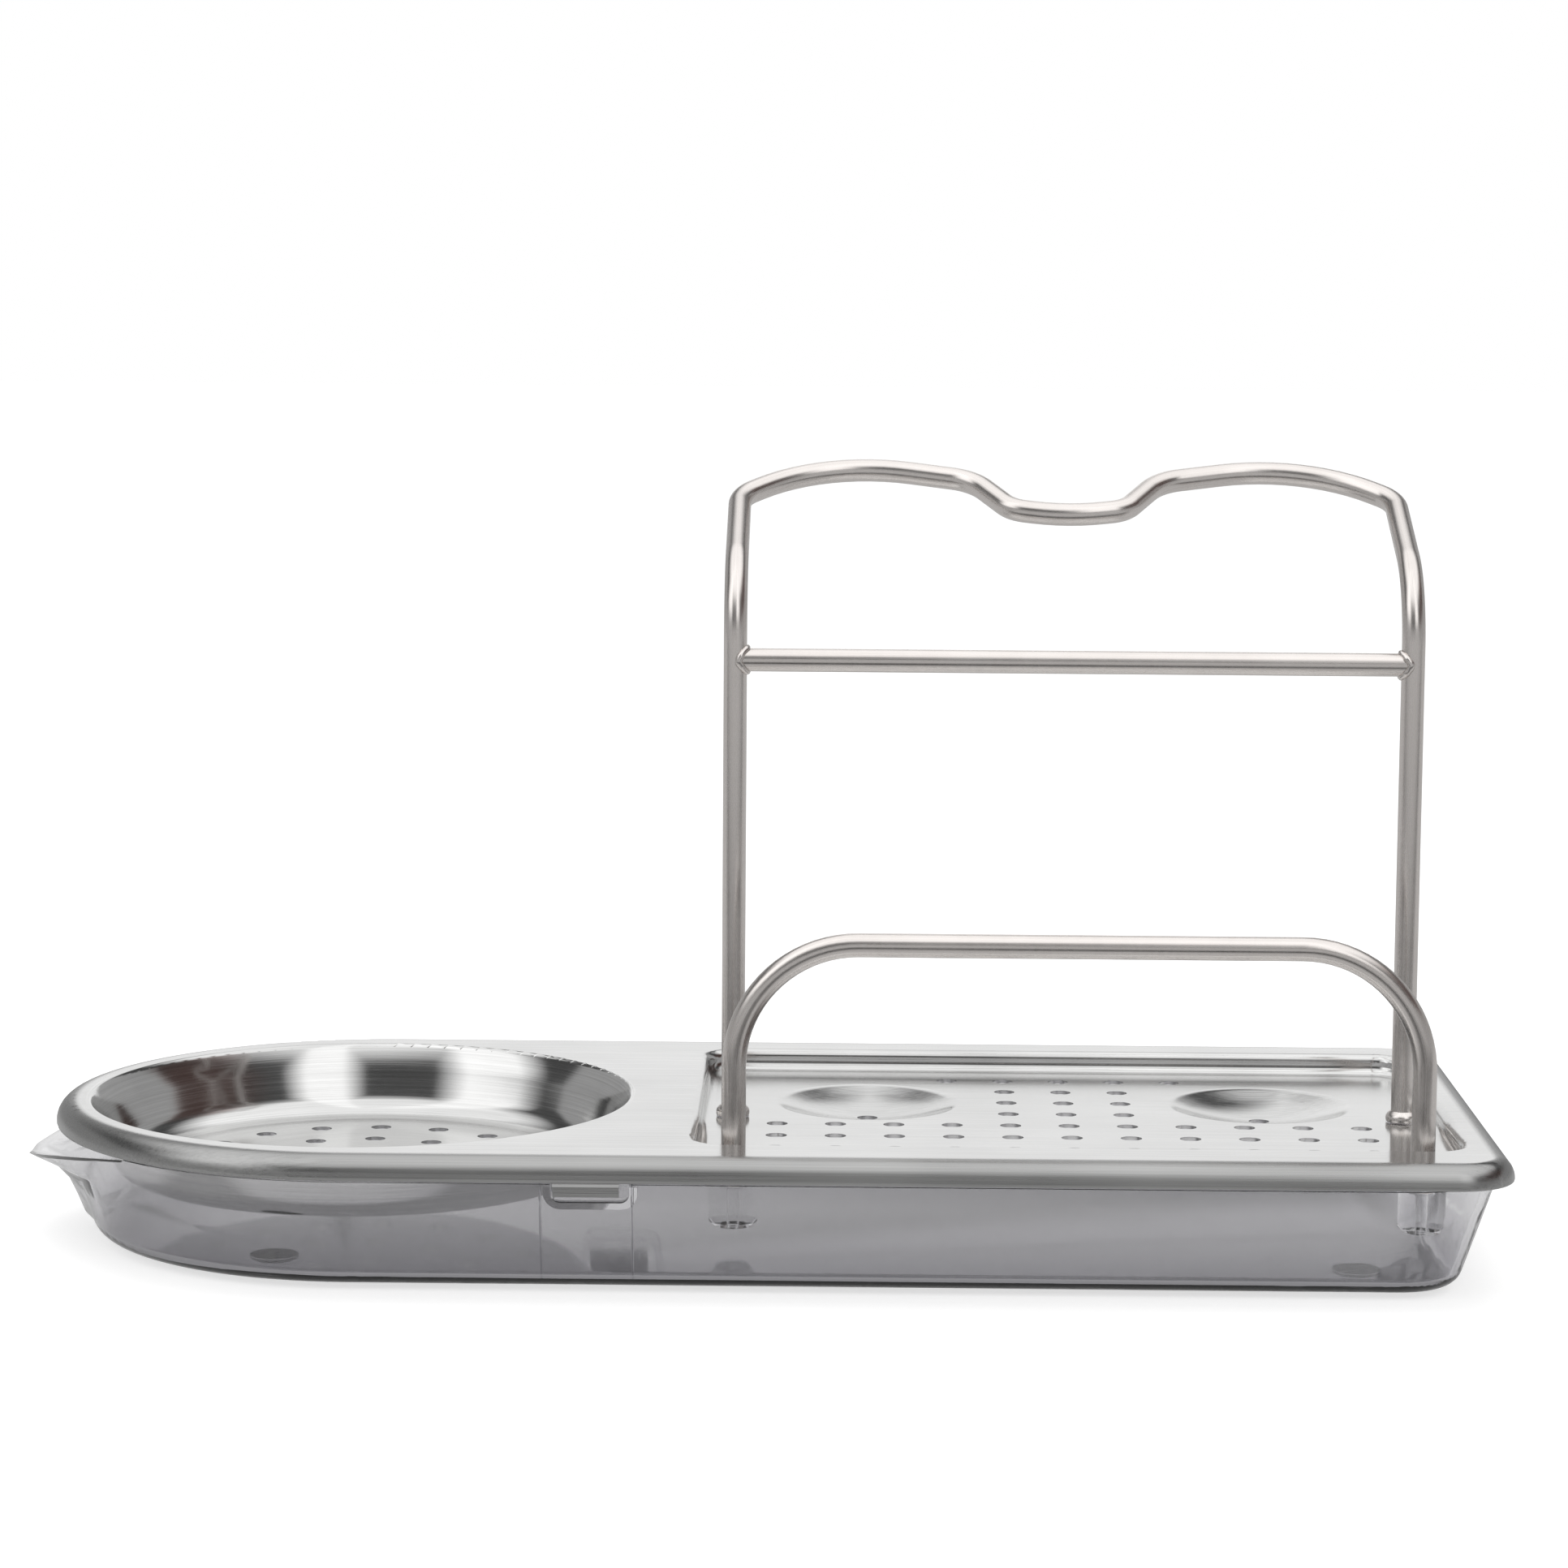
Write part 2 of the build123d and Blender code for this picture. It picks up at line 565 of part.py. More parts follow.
def all_parts():
    """Every sub-part by its node name."""
    parts = {"drip_dish": drip_dish(), "steel_tray": steel_tray()}
    for name, place in foot_places().items():
        parts[name] = foot(place)
    for side, place in zip(("left", "right"), rack_leg_places()):
        parts["rack_socket_" + side] = leg_socket(place)
        parts["rack_collar_" + side] = leg_collar(place, COLLAR_D, COLLAR_TOP_D, COLLAR_HEIGHT)
    for side, place in zip(("left", "right"), divider_leg_places()):
        parts["divider_socket_" + side] = leg_socket(place)
        parts["divider_collar_" + side] = leg_collar(place, LOW_COLLAR_D, LOW_COLLAR_TOP_D, LOW_COLLAR_HEIGHT)
    parts["rack_loop"] = rack_loop()
    parts["rack_crossbar"] = rack_crossbar(parts["rack_loop"])
    parts["divider_loop"] = divider_loop()
    return parts


os.makedirs("parts", exist_ok=True)
for node, part in all_parts().items():
    export_step(part, os.path.join("parts", node + ".step"))
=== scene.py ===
"""Sink caddy for sponges and brushes, dressed for a studio picture.

A clear smoke-tinted drip dish with a spout carries a pressed steel tray with a round
bowl and a perforated recess. A tall bent rod rack and a low rod divider stand in it.
The scene is in metres, and sizes given in millimetres are multiplied by MM.
+X runs to the square end, +Y is the back and +Z is up.
"""

import logging
import math
from dataclasses import dataclass, field
from enum import Enum
from functools import reduce
from typing import Iterable, Sequence, Union

import bmesh
import bpy
from mathutils import Matrix, Vector, noise


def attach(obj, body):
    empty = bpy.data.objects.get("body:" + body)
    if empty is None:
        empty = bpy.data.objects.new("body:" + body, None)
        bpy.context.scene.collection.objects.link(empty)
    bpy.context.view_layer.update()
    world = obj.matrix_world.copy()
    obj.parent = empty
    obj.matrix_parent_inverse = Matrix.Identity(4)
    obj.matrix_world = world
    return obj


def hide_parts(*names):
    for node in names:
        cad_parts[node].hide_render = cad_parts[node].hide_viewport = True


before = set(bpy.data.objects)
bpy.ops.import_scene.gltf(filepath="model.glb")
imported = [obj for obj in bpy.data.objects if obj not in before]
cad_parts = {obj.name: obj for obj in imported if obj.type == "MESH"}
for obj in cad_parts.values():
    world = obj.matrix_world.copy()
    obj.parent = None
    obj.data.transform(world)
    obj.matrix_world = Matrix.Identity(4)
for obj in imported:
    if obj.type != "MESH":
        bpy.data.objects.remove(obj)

LOG = logging.getLogger("caddy")
MM = 0.001

Pair = tuple[float, float]
Triple = tuple[float, float, float]
Socket = bpy.types.NodeSocket
Value = Union[Socket, float]


class Body(str, Enum):
    """The moving bodies of the caddy."""

    DISH = "dish"
    TRAY = "tray"
    RACK = "rack"
    DIVIDER = "divider"


class Slot(str, Enum):
    """The finishes that the record names."""

    SMOKE = "smoke_plastic"
    RUBBER = "foot_rubber"
    SHEET = "tray_steel"
    SOCKET = "socket_plastic"
    ROD = "rod_steel"


class Axis(Enum):
    """The three axes of the caddy's frame."""

    X = Vector((1, 0, 0))
    Y = Vector((0, 1, 0))
    Z = Vector((0, 0, 1))


@dataclass(frozen=True)
class Plan:
    """Places and levels that several pieces share, in millimetres."""

    right_x: float = 156.05
    round_x: float = -81.45
    bowl_x: float = -84.25
    bowl_r: float = 58.0
    half: float = 68.0
    corner: float = 13.0
    rim_z: float = 29.4
    floor_z: float = 25.0
    lip_z: float = 24.3
    recess_x: float = 68.1
    tab_x: float = -32.05
    seam_from_tab: float = 9.3


PLAN = Plan()
SHARP = 32.0
NOISE_SPAN = (0.3, 0.7)
WHITE = (1.0, 1.0, 1.0)
BLACK = (0.0, 0.0, 0.0)
CLEAR = (0.99, 0.99, 0.99)


# Node work for the finishes


class NodeBench:
    """A small bench for wiring one material's or world's nodes."""

    def __init__(self, tree: bpy.types.NodeTree) -> None:
        """Empties a node tree and keeps it.

        Args:
            tree: The tree of a material or of the world.
        """
        self.tree = tree
        tree.nodes.clear()

    def add(self, kind: str, label: str = "", **settings: object) -> bpy.types.Node:
        """Adds a node and sets its options and input values.

        Args:
            kind: The node's type name.
            label: A plain name shown on the node.
            settings: Options by attribute name, or input values by socket name with
                spaces written as underscores.

        Returns:
            The new node.
        """
        node = self.tree.nodes.new(kind)
        node.label = label
        for name, value in settings.items():
            socket = next((s for s in node.inputs
                           if s.name.replace(" ", "_") == name and s.enabled), None)
            if socket is not None and not hasattr(node, name):
                socket.default_value = value
            else:
                setattr(node, name, value)
        return node

    def wire(self, source: Socket, target: Socket) -> None:
        """Links one socket to another."""
        self.tree.links.new(source, target)

    def place(self) -> Socket:
        """Gives the place on the object."""
        return self.add("ShaderNodeTexCoord").outputs["Object"]

    def parts(self, vector: Socket) -> tuple[Socket, ...]:
        """Splits a vector into its three lengths."""
        node = self.add("ShaderNodeSeparateXYZ")
        self.wire(vector, node.inputs[0])
        return tuple(node.outputs)

    def joined(self, *lengths: Socket) -> Socket:
        """Joins up to three lengths into a vector."""
        node = self.add("ShaderNodeCombineXYZ")
        for length, target in zip(lengths, node.inputs):
            self.wire(length, target)
        return node.outputs[0]

    def math(self, operation: str, first: Value, second: Value = 0.0,
             clamp: bool = False) -> Socket:
        """Adds a math node fed by sockets or numbers.

        Args:
            operation: The math node's operation.
            first: A socket or a number.
            second: A socket or a number.
            clamp: Whether the result is held between 0 and 1.

        Returns:
            The result's socket.
        """
        node = self.add("ShaderNodeMath", operation=operation, use_clamp=clamp)
        for socket, value in zip(node.inputs, (first, second)):
            if isinstance(value, bpy.types.NodeSocket):
                self.wire(value, socket)
            else:
                socket.default_value = value
        return node.outputs[0]

    def times(self, *values: Value) -> Socket:
        """Multiplies sockets and numbers."""
        return reduce(lambda first, second: self.math("MULTIPLY", first, second), values)

    def plus(self, *values: Value) -> Socket:
        """Adds sockets and numbers."""
        return reduce(lambda first, second: self.math("ADD", first, second), values)

    def minus(self, first: Value, second: Value) -> Socket:
        """Takes one socket or number from another."""
        return self.math("SUBTRACT", first, second)

    def most(self, *values: Value) -> Socket:
        """Picks the greatest of sockets and numbers."""
        return reduce(lambda first, second: self.math("MAXIMUM", first, second), values)

    def reach(self, first: Socket, second: Socket) -> Socket:
        """Gives the distance that two lengths square to each other make."""
        return self.math("SQRT", self.plus(self.times(first, first), self.times(second, second)))

    def spread(self, value: Socket, low: float, high: float,
               start: float = 0.0, end: float = 1.0) -> Socket:
        """Maps a value from start..end onto low..high.

        Args:
            value: The socket to map.
            low: The result at start.
            high: The result at end.
            start: The value that gives low.
            end: The value that gives high.

        Returns:
            The mapped value's socket.
        """
        node = self.add("ShaderNodeMapRange")
        node.inputs["From Min"].default_value = start
        node.inputs["From Max"].default_value = end
        node.inputs["To Min"].default_value = low
        node.inputs["To Max"].default_value = high
        self.wire(value, node.inputs["Value"])
        return node.outputs["Result"]

    def grain(self, vector: Socket, scale: Triple,
              detail: float = 3.0, roughness: float = 0.6) -> Socket:
        """Adds a noise stretched by its own scale along each axis.

        Args:
            vector: Where the noise is read.
            scale: Cells per unit along each axis.
            detail: Layers of finer noise.
            roughness: How strong the finer layers are.

        Returns:
            The noise's value, from 0 to 1.
        """
        stretch = self.add("ShaderNodeMapping", label="stretch of the grain")
        stretch.inputs["Scale"].default_value = scale
        self.wire(vector, stretch.inputs["Vector"])
        node = self.add("ShaderNodeTexNoise")
        node.inputs["Scale"].default_value = 1.0
        node.inputs["Detail"].default_value = detail
        node.inputs["Roughness"].default_value = roughness
        self.wire(stretch.outputs["Vector"], node.inputs["Vector"])
        return node.outputs["Fac"]

    def blend_colour(self, share: Socket, first: Triple, second: Triple) -> Socket:
        """Mixes two colours by a share.

        Args:
            share: The mixing value, 0 for the first colour.
            first: Red, green and blue.
            second: Red, green and blue.

        Returns:
            The mixed colour's socket.
        """
        node = self.add("ShaderNodeMix", data_type="RGBA")
        self.wire(share, node.inputs[0])
        node.inputs[6].default_value = (*first, 1.0)
        node.inputs[7].default_value = (*second, 1.0)
        return node.outputs[2]

    def tinted(self, share: Socket, colour: Socket, tint: Triple) -> Socket:
        """Multiplies a colour by a tint, as far as a share says.

        Args:
            share: How much of the tint is used.
            colour: The colour to tint.
            tint: Red, green and blue.

        Returns:
            The tinted colour's socket.
        """
        node = self.add("ShaderNodeMix", data_type="RGBA", blend_type="MULTIPLY")
        self.wire(share, node.inputs[0])
        self.wire(colour, node.inputs[6])
        node.inputs[7].default_value = (*tint, 1.0)
        return node.outputs[2]

    def bump(self, height: Socket, depth: float, strength: float = 1.0) -> Socket:
        """Turns a height of 0 to 1 into a bumped normal.

        Args:
            height: The height's socket.
            depth: How deep the relief is, in metres.
            strength: How much of it is used.

        Returns:
            The bumped normal's socket.
        """
        node = self.add("ShaderNodeBump")
        node.inputs["Strength"].default_value = strength
        node.inputs["Distance"].default_value = depth
        self.wire(height, node.inputs["Height"])
        return node.outputs["Normal"]


def new_material(name: str) -> tuple[bpy.types.Material, NodeBench, bpy.types.Node]:
    """Starts a material with one principled surface.

    Args:
        name: The material's name.

    Returns:
        The material, the bench for its nodes and the principled node.
    """
    material = bpy.data.materials.new(name)
    material.use_nodes = True
    bench = NodeBench(material.node_tree)
    surface = bench.add("ShaderNodeBsdfPrincipled")
    out = bench.add("ShaderNodeOutputMaterial")
    bench.wire(surface.outputs["BSDF"], out.inputs["Surface"])
    return material, bench, surface


@dataclass(frozen=True)
class SheetSteel:
    """Satin stainless sheet, brushed along its length on the flats and round the bowl."""

    name: str = "sheet_steel"
    pale: Triple = (0.76, 0.76, 0.755)
    deep: Triple = (0.52, 0.52, 0.515)
    smooth: float = 0.08
    rough: float = 0.17
    straight_grain: Triple = (14.0, 2600.0, 2600.0)
    round_grain: Triple = (1.2, 2600.0, 2600.0)
    cloud_grain: Triple = (26.0, 40.0, 40.0)
    streak_share: float = 0.6
    cloud_share: float = 0.4
    relief: float = 0.02
    relief_strength: float = 0.35
    bowl_edge: float = 1.2
    rim_rough: float = 0.34
    rim_band: float = 5.0
    rim_fade: float = 1.5
    rim_tone: float = 0.62
    rim_relief: float = 1.6
    stretch: float = 0.65
    quarter_turn: float = 0.25

    def material(self) -> bpy.types.Material:
        """Builds the node material.

        Returns:
            The finished material.
        """
        material, bench, surface = new_material(self.name)
        place = bench.place()
        x, y, z = bench.parts(place)
        from_bowl = bench.minus(x, PLAN.bowl_x * MM)
        radius = bench.reach(from_bowl, y)
        in_bowl = bench.math("LESS_THAN", radius, (PLAN.bowl_r + self.bowl_edge) * MM)
        polar = bench.joined(bench.math("ARCTAN2", y, from_bowl), radius, z)
        brushed = bench.add("ShaderNodeMix", data_type="FLOAT")
        bench.wire(in_bowl, brushed.inputs[0])
        bench.wire(bench.grain(place, self.straight_grain, detail=4.0), brushed.inputs[2])
        bench.wire(bench.grain(polar, self.round_grain, detail=4.0), brushed.inputs[3])
        streaks = brushed.outputs[0]
        cloud = bench.grain(place, self.cloud_grain, detail=2.0)
        tone = bench.plus(bench.times(streaks, self.streak_share),
                          bench.times(cloud, self.cloud_share))
        rim = self._rim(bench, x, y, z)
        brushed_tone = bench.blend_colour(bench.spread(tone, 0.0, 1.0, *NOISE_SPAN),
                                          self.deep, self.pale)
        bench.wire(bench.tinted(rim, brushed_tone, (self.rim_tone,) * 3),
                   surface.inputs["Base Color"])
        bench.wire(bench.plus(bench.spread(tone, self.smooth, self.rough, *NOISE_SPAN),
                              bench.times(rim, self.rim_rough - self.rough)),
                   surface.inputs["Roughness"])
        height = bench.times(streaks, bench.plus(bench.times(rim, self.rim_relief), 1.0))
        bench.wire(bench.bump(height, self.relief * MM, self.relief_strength),
                   surface.inputs["Normal"])
        bench.wire(self._tangent(bench, from_bowl, y, in_bowl), surface.inputs["Tangent"])
        surface.inputs["Metallic"].default_value = 1.0
        surface.inputs["Anisotropic"].default_value = self.stretch
        surface.inputs["Anisotropic Rotation"].default_value = self.quarter_turn
        return material

    def _rim(self, bench: NodeBench, x: Socket, y: Socket, z: Socket) -> Socket:
        """Gives 1 on the coarsely brushed rim, which follows the outline, and 0 inside it.

        Args:
            bench: The bench of the material.
            x: The place along X.
            y: The place along Y.
            z: The place along Z.

        Returns:
            The rim's share.
        """
        from_round = bench.math("MINIMUM", bench.minus(x, PLAN.round_x * MM), 0.0)
        from_square = bench.minus(x, (PLAN.right_x - PLAN.half) * MM)
        out = bench.most(bench.reach(from_round, y), from_square)
        start = PLAN.half - self.rim_band
        over_lip = bench.math("GREATER_THAN", z, PLAN.lip_z * MM)
        return bench.times(over_lip, bench.spread(out, 0.0, 1.0, start * MM,
                                                  (start + self.rim_fade) * MM))

    @staticmethod
    def _tangent(bench: NodeBench, from_bowl: Socket, across: Socket, in_bowl: Socket) -> Socket:
        """Gives the direction of the brushing: along X, or round the bowl.

        Args:
            bench: The bench of the material.
            from_bowl: The distance along X from the bowl's middle.
            across: The distance along Y from the bowl's middle.
            in_bowl: 1 inside the bowl's mouth.

        Returns:
            The direction's socket.
        """
        unit = bench.add("ShaderNodeVectorMath", operation="NORMALIZE")
        bench.wire(bench.joined(bench.times(across, -1.0), from_bowl), unit.inputs[0])
        pick = bench.add("ShaderNodeMix", data_type="VECTOR")
        bench.wire(in_bowl, pick.inputs[0])
        pick.inputs[4].default_value = Axis.X.value
        bench.wire(unit.outputs[0], pick.inputs[5])
        return pick.outputs[1]


@dataclass(frozen=True)
class RodSteel:
    """Stainless rod with fine lines along it and a warm grey tone."""

    name: str = Slot.ROD.value
    pale: Triple = (0.84, 0.80, 0.775)
    deep: Triple = (0.66, 0.62, 0.595)
    smooth: float = 0.20
    rough: float = 0.32
    line_grain: Triple = (17.0, 17.0, 12.0)
    ring_grain: Triple = (0.6, 0.6, 300.0)
    cloud_grain: Triple = (60.0, 60.0, 60.0)
    line_share: float = 0.7
    ring_share: float = 0.1
    cloud_share: float = 0.2
    relief: float = 0.01
    relief_strength: float = 0.3

    def material(self) -> bpy.types.Material:
        """Builds the node material.

        Returns:
            The finished material.
        """
        material, bench, surface = new_material(self.name)
        along = bench.add("ShaderNodeAttribute", attribute_name="rod_space").outputs["Vector"]
        lines = bench.grain(along, self.line_grain, detail=3.0, roughness=0.7)
        rings = bench.grain(along, self.ring_grain, detail=2.0)
        cloud = bench.grain(bench.place(), self.cloud_grain, detail=2.0)
        tone = bench.plus(bench.times(lines, self.line_share),
                          bench.plus(bench.times(rings, self.ring_share),
                                     bench.times(cloud, self.cloud_share)))
        bench.wire(bench.blend_colour(bench.spread(tone, 0.0, 1.0, *NOISE_SPAN),
                                      self.deep, self.pale), surface.inputs["Base Color"])
        bench.wire(bench.spread(tone, self.smooth, self.rough, *NOISE_SPAN),
                   surface.inputs["Roughness"])
        bench.wire(bench.bump(lines, self.relief * MM, self.relief_strength),
                   surface.inputs["Normal"])
        surface.inputs["Metallic"].default_value = 1.0
        return material


@dataclass(frozen=True)
class ClearPlastic:
    """Clear moulded plastic whose tint deepens with its thickness, with its mould's seams and
    painted shade towards its bottom.
    """

    name: str
    tint: Triple
    depth: float
    bending: float = 1.49
    smooth: float = 0.02
    rough: float = 0.06
    # Painted shade: the colour near the bottom is multiplied by this tint, fully below the first
    # level of foot_z and fading out at the second.
    painted_shade_tint: Triple = CLEAR
    foot_z: Pair = (2.0, 19.0)
    seams: tuple[float, ...] = ()
    seam_from_y: float = -60.0
    seam_width: Pair = (0.05, 0.22)
    seam_tone: Triple = (0.50, 0.50, 0.52)
    flow_grain: Triple = (18.0, 18.0, 40.0)
    fine_grain: Triple = (700.0, 700.0, 700.0)
    flow_relief: float = 0.3
    flow_mark: float = 0.1
    relief: float = 0.12
    relief_strength: float = 0.5

    def material(self) -> bpy.types.Material:
        """Builds the node material.

        Returns:
            The finished material.
        """
        material, bench, surface = new_material(self.name)
        place = bench.place()
        x, y, z = bench.parts(place)
        flow = bench.grain(place, self.flow_grain, detail=2.0)
        fine = bench.grain(place, self.fine_grain, detail=2.0)
        bench.wire(bench.spread(fine, self.smooth, self.rough, *NOISE_SPAN),
                   surface.inputs["Roughness"])
        height = bench.times(flow, self.flow_relief)
        mark = bench.times(flow, self.flow_mark)
        on_front = bench.math("LESS_THAN", y, self.seam_from_y * MM)
        near, far = (width * MM for width in self.seam_width)
        for seam in self.seams:
            away = bench.math("ABSOLUTE", bench.minus(x, seam * MM))
            line = bench.times(on_front, bench.spread(away, 1.0, 0.0, near, far))
            height = bench.minus(height, line)
            mark = bench.most(mark, line)
        # Painted shade: darker towards the bottom, for the shadowed floor seen through the dish.
        low = bench.spread(z, 1.0, 0.0, *(level * MM for level in self.foot_z))
        seamed = bench.blend_colour(mark, CLEAR, self.seam_tone)
        bench.wire(bench.tinted(low, seamed, self.painted_shade_tint), surface.inputs["Base Color"])
        bench.wire(bench.bump(height, self.relief * MM, self.relief_strength),
                   surface.inputs["Normal"])
        surface.inputs["Transmission Weight"].default_value = 1.0
        surface.inputs["IOR"].default_value = self.bending
        inside = bench.add("ShaderNodeVolumeAbsorption", label="tint through the wall",
                           Color=(*self.tint, 1.0))
        inside.inputs["Density"].default_value = self.depth
        out = next(node for node in bench.tree.nodes if node.type == "OUTPUT_MATERIAL")
        bench.wire(inside.outputs[0], out.inputs["Volume"])
        return material


# Mesh work


def finish_piece(mesh: bmesh.types.BMesh, name: str, material: bpy.types.Material, body: Body,
                 replaces: Sequence[str] = (), sharp: float = SHARP,
                 pressing: "Pressing | None" = None) -> bpy.types.Object:
    """Turns worked geometry into a piece of the caddy.

    Args:
        mesh: The worked geometry, which is freed.
        name: The piece's name.
        material: Its finish.
        body: The body it moves with.
        replaces: The solids that it stands for.
        sharp: The angle in degrees from which an edge is drawn sharp.
        pressing: The tools that shaped it, which give its shading its true directions.

    Returns:
        The new object.
    """
    limit = math.radians(sharp)
    for face in mesh.faces:
        face.smooth = True
    for edge in mesh.edges:
        if edge.is_manifold:
            edge.smooth = edge.calc_face_angle() < limit
    normals = pressing.corner_normals(mesh) if pressing else None
    data = bpy.data.meshes.new(name)
    mesh.to_mesh(data)
    mesh.free()
    if normals:
        data.normals_split_custom_set(normals)
    data.materials.append(material)
    piece = bpy.data.objects.new(name, data)
    bpy.context.scene.collection.objects.link(piece)
    if not data.has_custom_normals:
        level = piece.modifiers.new("flat_faces_lead", "WEIGHTED_NORMAL")
        level.keep_sharp = True
    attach(piece, body.value)
    if replaces:
        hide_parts(*replaces)
    LOG.info("%s: %d faces on body %s", name, len(data.polygons), body.value)
    return piece


def merged_copy(node: str) -> bmesh.types.BMesh:
    """Copies a solid's mesh and joins its loose triangles.

    Args:
        node: The solid's name.

    Returns:
        The joined copy.
    """
    mesh = bmesh.new()
    mesh.from_mesh(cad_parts[node].data)
    bmesh.ops.remove_doubles(mesh, verts=mesh.verts, dist=1e-6)
    return mesh


def dress_node(node: str, material: bpy.types.Material) -> None:
    """Gives a solid that stays as it is its finish.

    Args:
        node: The solid's name.
        material: Its finish.
    """
    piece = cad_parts[node]
    piece.data.materials.clear()
    piece.data.materials.append(material)
    LOG.info("%s keeps its mesh", node)


class Tool(Enum):
    """The tools that shape the tray, by the form they leave."""

    BOWL = "bowl"
    ROUND_END = "round end"
    SIDE = "straight side"


@dataclass
class Pressing:
    """Works out true shading directions of the pressed tray from the tools that shaped it.

    Round the bowl and the round end every direction lies in a plane through the tool's axis,
    and along a straight side it lies across the side. Points of one ring share one direction.
    """

    rim_width: float = 6.5
    bowl_margin: float = 1.5
    bowl_middle: float = 1.0
    lean: float = 0.3
    sharp: float = math.cos(math.radians(SHARP))
    flat: float = 0.99995
    level_within: float = 0.02
    steps_per_mm: int = 20

    def _tool(self, place: Vector) -> tuple[Tool, Vector, float] | None:
        """Finds the tool that shaped a place.

        Args:
            place: The place, in metres.

        Returns:
            The tool, its outward direction there and how far out the place is in millimetres,
            or nothing where no such tool worked.
        """
        x, y = place.x / MM, place.y / MM
        from_bowl = Vector((x - PLAN.bowl_x, y, 0))
        if from_bowl.length < PLAN.bowl_r + self.bowl_margin:
            if from_bowl.length > self.bowl_middle:
                return Tool.BOWL, from_bowl.normalized(), from_bowl.length
            return None
        from_end = Vector((x - PLAN.round_x, y, 0))
        rim = PLAN.half - self.rim_width
        if x < PLAN.round_x and from_end.length > rim:
            return Tool.ROUND_END, from_end.normalized(), from_end.length
        if PLAN.round_x <= x < PLAN.right_x - 2 * PLAN.corner and abs(y) > rim:
            return Tool.SIDE, Vector((0, math.copysign(1, y), 0)), abs(y)
        return None

    def _smooth(self, vert: bmesh.types.BMVert, face: bmesh.types.BMFace) -> Vector:
        """Averages the faces round a corner that turn smoothly into its own face.

        Args:
            vert: The corner's point.
            face: The corner's own face.

        Returns:
            The averaged direction.
        """
        on_rim = abs(vert.co.z / MM - PLAN.rim_z) < self.level_within
        if on_rim and face.normal.z > self.sharp:
            return Axis.Z.value
        near = [f for f in vert.link_faces if f.normal.dot(face.normal) > self.sharp]
        level = [f for f in near if abs(f.normal.z) > self.flat]
        if level:
            return Vector((0, 0, math.copysign(1, level[0].normal.z)))
        total = Vector()
        for other in near:
            corner = next(loop for loop in other.loops if loop.vert == vert)
            total += other.normal * corner.calc_angle()
        return total.normalized()

    def corner_normals(self, mesh: bmesh.types.BMesh) -> list[Vector]:
        """Works out one direction for each corner of each face.

        Args:
            mesh: The shell's geometry.

        Returns:
            The directions, in the order in which the mesh stores its corners.
        """
        mesh.normal_update()
        found, rings = [], {}
        for face in mesh.faces:
            for loop in face.loops:
                plain = self._smooth(loop.vert, face)
                tool = self._tool(loop.vert.co)
                key = None
                if tool and abs(plain.z) < self.flat:
                    kind, out, reach = tool
                    aside = plain - out * plain.dot(out) - Axis.Z.value * plain.z
                    if aside.length < self.lean:
                        key = (kind, round(reach * self.steps_per_mm),
                               round(loop.vert.co.z / MM * self.steps_per_mm),
                               face.normal.z > 0)
                        total = rings.setdefault(key, [0.0, 0.0])
                        total[0] += plain.dot(out)
                        total[1] += plain.z
                found.append((plain, key, tool[1] if tool else None))
        return [self._on_ring(rings[key], out) if key else plain for plain, key, out in found]

    @staticmethod
    def _on_ring(total: Sequence[float], out: Vector) -> Vector:
        """Turns a ring's shared direction to one of its points."""
        return (out * total[0] + Axis.Z.value * total[1]).normalized()


